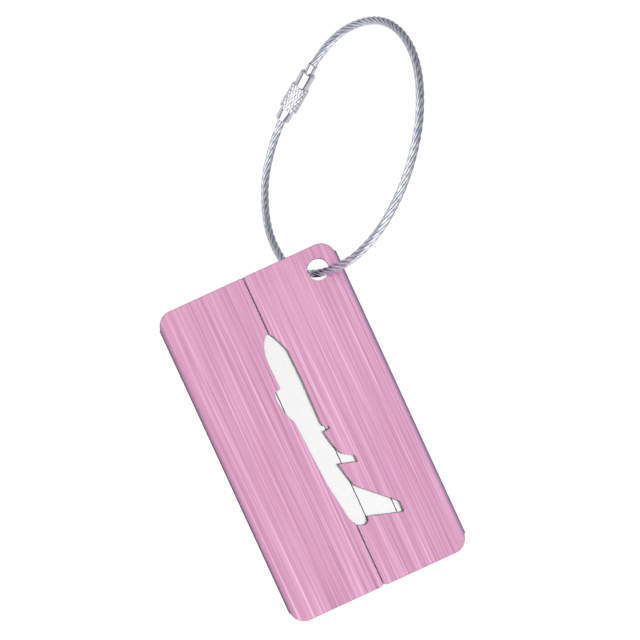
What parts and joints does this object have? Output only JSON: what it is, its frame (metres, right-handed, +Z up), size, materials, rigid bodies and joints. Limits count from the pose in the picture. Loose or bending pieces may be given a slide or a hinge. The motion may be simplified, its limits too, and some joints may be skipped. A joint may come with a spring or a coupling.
{
  "type": "luggage tag",
  "caption": "Flat pink aluminium luggage tag folded round a name card, with an airliner cut-out, on a wire-rope loop with a knurled screw clasp.",
  "frame": {"origin": "inside top of the wire loop, the point that bears on a bag handle", "axes": "+Z up as the tag hangs, the tag's front with the cut-out faces -Y, +X to the right of someone looking at that front"},
  "size_m": [0.0731, 0.0553, 0.1453],
  "materials": {
    "anodised_sheet": "satin",
    "card_paper": "matte",
    "wire_rope": "satin",
    "crimp_steel": "satin",
    "barrel_steel": "gloss"
  },
  "bodies": {
    "loop_upper": {"cable_upper": "wire_rope", "cable_bend": "wire_rope", "swivel_ferrule": "crimp_steel"},
    "barrel": {"knurled_barrel": "barrel_steel"},
    "loop_lower": {"cable_lower": "wire_rope", "stud_fitting": "crimp_steel"},
    "tag": {"folded_sleeve": "anodised_sheet"},
    "card": {"name_card": "card_paper"}
  },
  "joints": [
    {"name": "barrel_turn", "type": "hinge", "parent": "loop_upper", "child": "barrel", "pos_m": [-0.0168, 0.01911, -0.0153], "axis": [0.4794, -0.4026, 0.7798], "continuous": true},
    {"name": "loop_open", "type": "hinge", "parent": "loop_upper", "child": "loop_lower", "pos_m": [0.00279, -0.02566, -0.05149], "axis": [-0.8138, -0.5366, 0.2233], "range_deg": [0, 35], "deforming": ["cable_bend"]},
    {"name": "tag_swing", "type": "hinge", "parent": "loop_lower", "child": "tag", "pos_m": [-0.0108, -0.0088, -0.0598], "axis": [0, 1, 0], "range_deg": [-90, 90]},
    {"name": "card_slide", "type": "slide", "parent": "tag", "child": "card", "axis": [0.4174, 0, -0.9087], "range_m": [0, 0.08]}
  ]
}
